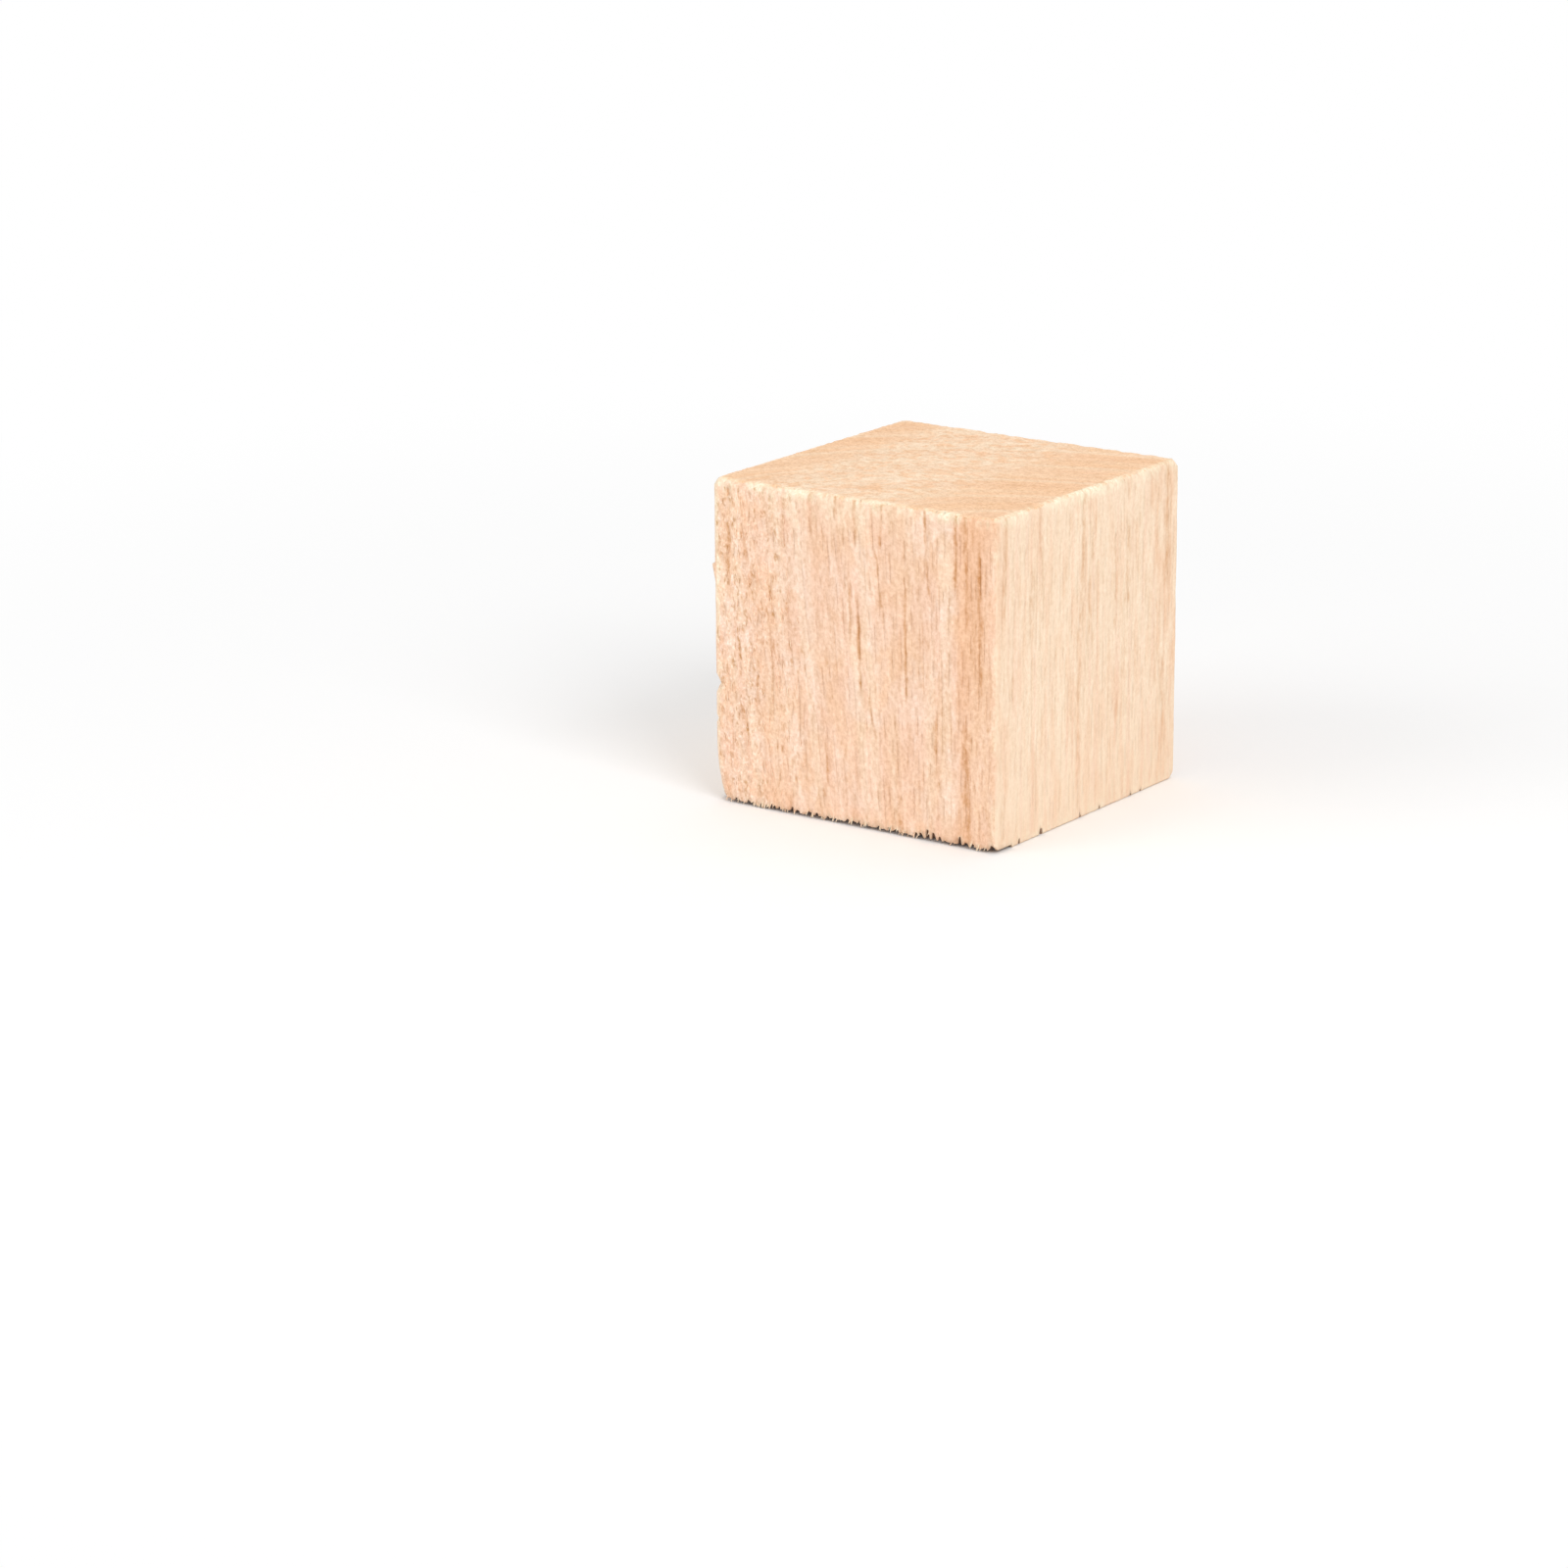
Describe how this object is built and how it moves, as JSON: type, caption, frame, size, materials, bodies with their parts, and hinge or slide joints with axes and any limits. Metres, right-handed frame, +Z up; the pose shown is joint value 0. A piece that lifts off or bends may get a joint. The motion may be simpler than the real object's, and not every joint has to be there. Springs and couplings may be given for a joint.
{
  "type": "wooden cube",
  "caption": "Solid hardwood cube with upright grain, eased edges and a ragged saw-torn foot; used as a block, riser or spacer.",
  "frame": {"origin": "middle of the bottom, on the surface the cube rests on", "axes": "+Z up along the grain; -Y the front, whose foot the saw tore; +X the right side, seen from the front"},
  "size_m": [0.0406, 0.0399, 0.0399],
  "materials": {
    "hardwood": "bare pale straight-grained hardwood, planed on the sides and sawn on the ends, no coating"
  },
  "bodies": {
    "root": {"cube": "hardwood"}
  },
  "joints": []
}
